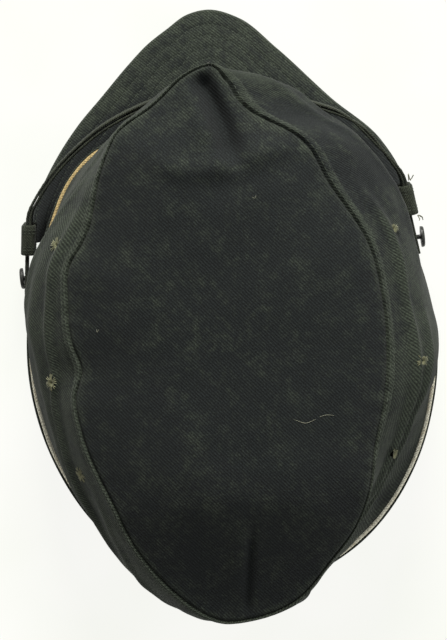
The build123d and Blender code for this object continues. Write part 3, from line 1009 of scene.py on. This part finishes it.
def in_strap_plane(plan):
    """Points of the strap's own plane, which passes through both buttons, as points of the frame."""
    c, s = cos(radians(strap_slope)), sin(radians(strap_slope))
    return np.stack([plan[:, 0], button_y + plan[:, 1] * c, button_z - plan[:, 1] * s], -1)


strap_up = np.array((0, sin(radians(strap_slope)), cos(radians(strap_slope))))


def strap_half(name, offset, left_tail, right_tail, seed):
    """One half of the strap: a soft strip on edge, with stitching along both edges."""
    path = in_strap_plane(strap_line(offset, left_tail, right_tail))
    upward = np.broadcast_to(strap_up, path.shape)
    outward = unit(np.cross(upward, np.gradient(path, axis=0)))
    outward *= np.sign(np.sum(outward * (path - (0, middle_y, 0)), -1, keepdims=True))
    along = arc_lengths(path)
    free = ramp(abs(along - along[-1] / 2), 90, 60)
    from_right_corner = np.linalg.norm(path[:, :2] - (-corner_x, button_y + corner_y), axis=-1)
    pushed = 3.5 * hump(from_right_corner - 24, 16) * (path[:, 0] < 0)
    parted = 0.2 * np.sign(offset) * (1 + wrinkle(path, 20.0, seed))
    worn = free * (pushed + parted + 0.15 * wrinkle(path, 14.0, seed))
    path = path + outward * worn[:, None]
    points, uv = ribbon(path, outward, upward, strap_height, strap_layer, corner=0.48)
    nodes = [f"chin_strap_{name}"]
    grid_piece(f"strap_cloth_{name}", points, uv, strap_twill, "strap", 0.55, nodes)
    face = 1 if name == "outer" else -1
    rows = []
    for edge in (-1, 1):
        line = path + upward * edge * (strap_height / 2 - 1.8) + outward * face * strap_layer / 2
        rows.append((line, outward * face))
    return rows


strap_rows = strap_half("outer", strap_layer / 2 + 0.05, strap_tail, strap_far_end, 31)
strap_rows += strap_half("inner", -strap_layer / 2 - 0.05, strap_far_end, strap_tail, 32)
stitch_piece("strap_topstitching", strap_rows, seam_thread, "strap", length=1.9, width=0.3, pitch=2.6)

keeper_length, keeper_wall = 13.0, 1.4
keeper_slot = (2.6, 12.4)


def keeper_piece(name):
    """A loop of folded cloth round both halves of the strap, with two rows of stitching at each end."""
    side = sides[name]
    body = f"keeper_{name}"
    ahead = -np.array(joints[f"{body}_slide"]["axis"])
    outward = unit(np.cross(ahead, strap_up)) * side
    outward *= np.sign(outward[0]) * side
    low, high = cad_box(body)
    centre = (low + high) / 2
    half_across, half_up = ((size + keeper_wall) / 2 for size in keeper_slot)
    loop = rounded_outline(half_across, half_up, 1.5, steps=7)
    path = centre + loop[:, :1] * outward + loop[:, 1:] * strap_up
    edge_out = unit(np.gradient(loop, axis=0))[:, ::-1] * (1, -1)
    away = edge_out[:, :1] * outward + edge_out[:, 1:] * strap_up
    away *= np.sign(np.sum(away * (path - centre), -1, keepdims=True))
    away[-1] = away[0] = unit(away[0] + away[-1])
    path = path + away * 0.25 * (1 + wrinkle(path, 5.0, 41 + side)[:, None])
    along = np.broadcast_to(ahead, path.shape)
    points, uv = ribbon(path, away, along, keeper_length, keeper_wall, closed=True, corner=0.48)
    grid_piece(f"keeper_cloth_{name}", points, uv, strap_twill, body, 0.75, [body])
    rows = [(path + along * place + away * keeper_wall / 2, away) for place in (-4.3, -3.0, 3.0, 4.3)]
    stitch_piece(f"keeper_stitching_{name}", rows, seam_thread, body, length=1.5, width=0.34, pitch=2.0)


for name in sides:
    keeper_piece(name)


# ---- loose threads, lint and scratches ----


def loose_thread(start, reach, curl, seed):
    """The line of a frayed thread that leaves a point and curls as it goes."""
    share = np.linspace(0, 1, 14)[:, None]
    wander = np.stack([wrinkle(share * 3.0, 1.0, seed + k) for k in (0, 1, 2)], -1)
    return start + share * np.array(reach) + wander * curl * share


def thread_pieces(name, paths, radius, body):
    """A thin piece for each loose thread."""
    for i, path in enumerate(paths):
        points, uv = tube(path, radius, turns=6)
        grid_piece(f"{name}_{i}", points, uv, frayed_thread, body)


def on_top(x, y):
    """The surface of the top panel at a place on the crown's own axes, just clear of the cloth."""
    flat = top_own.reshape(-1, 2)
    i = np.argmin(np.linalg.norm(flat - (x, y), axis=-1))
    return top_grid.reshape(-1, 3)[i] + (0, 0, 0.12)


def lint_line(places):
    """A pale scratch or stray thread that lies on the top panel."""
    table = np.array([on_top(*place) for place in places])
    knots = arc_lengths(table)
    return smooth_along(knots, table, np.linspace(0, knots[-1], 22))


keeper_low, keeper_high = cad_box("keeper_right")
frayed_front = np.array((keeper_low[0] + 2.2, keeper_low[1] + 0.6, keeper_high[2] - 0.4))
frayed_back = np.array((keeper_low[0] + 0.4, keeper_high[1] - 0.4, keeper_high[2] - 3))
frays = [
    loose_thread(frayed_front, (0.8, -2.6, 1.2), 0.8, 1),
    loose_thread(frayed_front, (-1.4, -2.2, 0.8), 1.0, 5),
    loose_thread(frayed_front + (0.8, 0, 0), (-0.4, -3.2, 0.2), 0.7, 3),
    loose_thread(frayed_back, (-2.2, 1.4, 0.8), 0.9, 9),
    loose_thread(frayed_back, (-0.8, 2.6, 0.5), 0.8, 12),
    loose_thread(frayed_back - (0.6, 0, 0), (-1.6, 2.4, 0.2), 1.0, 15),
]
thread_pieces("frayed_right", frays, 0.22, "keeper_right")
lint = [
    lint_line(((-24, 27), (-28, 28.5), (-33, 28))),
    lint_line(((-34, 27), (-37, 26), (-40, 26.5))),
    lint_line(((-11, -62), (-10, -61), (-9.5, -62))),
    lint_line(((53, -10), (54, -9.5), (54.5, -10))),
]
thread_pieces("lint", lint, 0.11, "cap")


# ---- the insert ----

shell_radii = np.array((79.0, 96.0, 56.0))
shell_middle = np.array((0, middle_y, 34.0))
pads = {
    "pad_front": ((0, -62), (64, 46)),
    "pad_rear": ((0, 62), (64, 46)),
    "pad_top": ((0, 0), (46, 60)),
    "pad_left": ((56, 0), (44, 60)),
    "pad_right": ((-56, 0), (44, 60)),
}
pad_clearance, pad_thickness = 2.5, 7.0


def pad_piece(node_name, seed):
    """A foam pad in a cloth cover: full in its middle, thin and rounded at its edge."""
    lowest = cad_box(node_name)[0][2]
    (x, y), (width, length) = pads[node_name]
    turn = full_turn(96)
    shares = np.concatenate([np.linspace(0, 0.8, 18)[:-1], np.sin(np.linspace(0.93, pi / 2, 12))])
    shares = np.append(shares[:-1], 1.0)
    reach = (abs(np.cos(turn)) ** 5 + abs(np.sin(turn)) ** 5) ** (-1 / 5)
    outline_x, outline_y = width / 2 * reach * np.cos(turn), length / 2 * reach * np.sin(turn)
    plan_x = x + np.outer(outline_x, shares) * 0.985
    plan_y = y + np.outer(outline_y, shares) * 0.985
    radii = shell_radii - pad_clearance
    inside = 1 - (plan_x / radii[0]) ** 2 - (plan_y / radii[1]) ** 2
    back_height = shell_middle[2] + radii[2] * np.sqrt(inside.clip(0.03))
    back = raise_plan(np.stack([plan_x, plan_y + middle_y], -1), back_height.clip(lowest + 0.5))
    inward = unit((shell_middle - back) / radii**2)
    fullness = np.sqrt((1 - shares**4).clip(0))[None, :]
    seams = 0.8 * hump(plan_x - x, 1.6) * fullness
    depth = pad_thickness * fullness * (0.86 + 0.06 * wrinkle(back, 12.0, seed)) - seams
    front = back + inward * depth[..., None]
    grid = np.concatenate([back, front[:, ::-1]], 1)
    uv = np.concatenate([back[..., :2], front[:, ::-1, :2] + 100], 1)
    piece = grid_piece(f"{node_name}_cloth", grid, uv, pad_cloth, "cap", 0.4, [node_name])


for seed, node_name in enumerate(pads):
    pad_piece(node_name, 50 + seed)

for node_name, material in (
    ("band_stiffener", board_card), ("visor_board", board_card), ("button_left", button_black),
    ("button_right", button_black), ("shell", shell_plastic), ("shell_trim", trim_rubber),
    ("shell_tabs", tape_loops),
):
    mesh = frame["nodes"][node_name].data
    mesh.materials.clear()
    mesh.materials.append(material)

# ---- floor, light and camera ----


def stage_floor():
    """A pale sheet under the cap that glows, so that hardly any shadow shows on it."""
    mesh = bpy.data.meshes.new("floor")
    reach = 4.0
    corners = [(-reach, -reach, 0), (reach, -reach, 0), (reach, reach, 0), (-reach, reach, 0)]
    mesh.from_pydata(corners, [], [(0, 1, 2, 3)])
    floor = add_object("floor", mesh)
    material, tree, shader = new_material("floor_paper", 0.95, specular=0.1)
    clouds = noise_value(tree, coordinates(tree, "Object"), 60.0)
    paper = mixed(tree, spread(tree, clouds, 0.3, 0.7), (1.0, 1.0, 0.97), (0.97, 0.98, 0.93))
    shader.inputs["Base Color"].default_value = (0.1, 0.1, 0.09, 1)
    tree.links.new(paper, shader.inputs["Emission Color"])
    shader.inputs["Emission Strength"].default_value = 0.9
    mesh.materials.append(material)


def area_light(name, place, size, power, colour):
    """A soft round light that faces the middle of the cap."""
    data = bpy.data.lights.new(name, "AREA")
    data.shape = "DISK"
    data.size = size
    data.energy = power
    data.color = colour
    light = add_object(name, data)
    light.location = place
    aim = Vector((0, 0, 0.05)) - Vector(place)
    light.rotation_euler = aim.to_track_quat("-Z", "Y").to_euler()


stage_floor()
area_light("key", (-0.15, -1.6, 1.05), 0.7, 50, (1.0, 1.0, 0.95))
area_light("fill", (-1.3, 0.2, 1.0), 1.2, 6, (0.96, 0.99, 1.0))
world = bpy.data.worlds.new("soft_room")
world.use_nodes = True
background = world.node_tree.nodes["Background"].inputs
background["Color"].default_value = (1.0, 1.0, 0.97, 1)
background["Strength"].default_value = 0.3
bpy.context.scene.world = world
bpy.context.scene.view_settings.view_transform = "Standard"

# straight down from about a metre, with the peak at the top of the picture
camera_place = (0.0023, 0.0057, 1.05)
camera_field, camera_turn = 15.22, 174
camera_data = bpy.data.cameras.new("camera")
camera_data.sensor_fit = "VERTICAL"
camera_data.angle = radians(camera_field)
camera_data.clip_start = 0.05
camera = add_object("camera", camera_data)
camera.location = camera_place
camera.rotation_euler = (0, 0, radians(camera_turn))
bpy.context.scene.camera = camera
